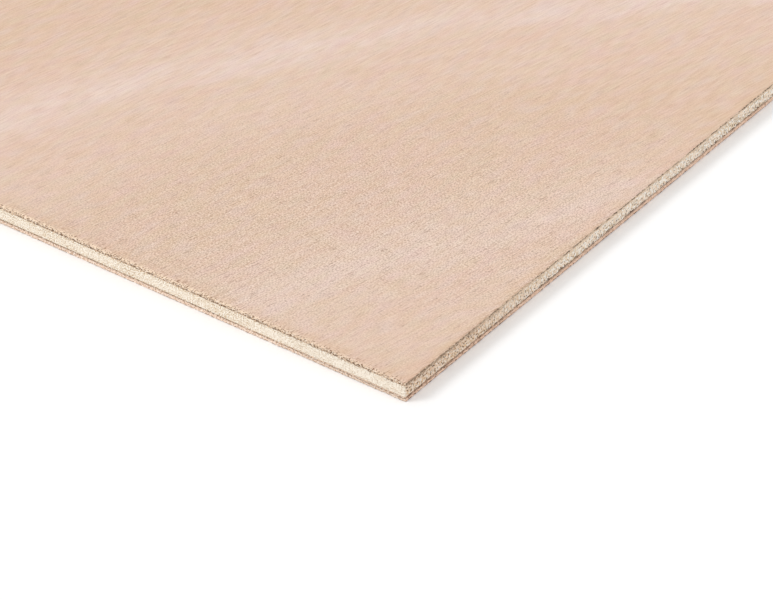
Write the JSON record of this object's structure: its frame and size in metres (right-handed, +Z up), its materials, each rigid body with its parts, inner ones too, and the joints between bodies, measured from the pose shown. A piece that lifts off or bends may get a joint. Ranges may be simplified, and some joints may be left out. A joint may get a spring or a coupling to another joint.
{
  "type": "plywood sheet",
  "caption": "Thin flat plywood sheet of cross-grained veneers glued face to face, with a fine pale tan face and square sawn edges, for panelling, backing and light joinery.",
  "frame": {"origin": "middle of the underside, on the surface that the sheet lies on", "axes": "+X along the sheet's length and the grain of its face and back, +Y across the sheet and along the grain of its core, +Z up, out of the face veneer"},
  "size_m": [2.44, 1.22, 0.004],
  "materials": {
    "back_veneer": "matte",
    "core_veneer": "matte",
    "face_veneer": "matte"
  },
  "bodies": {
    "root": {"back_veneer": "back_veneer", "core_veneer": "core_veneer", "face_veneer": "face_veneer"}
  },
  "joints": []
}
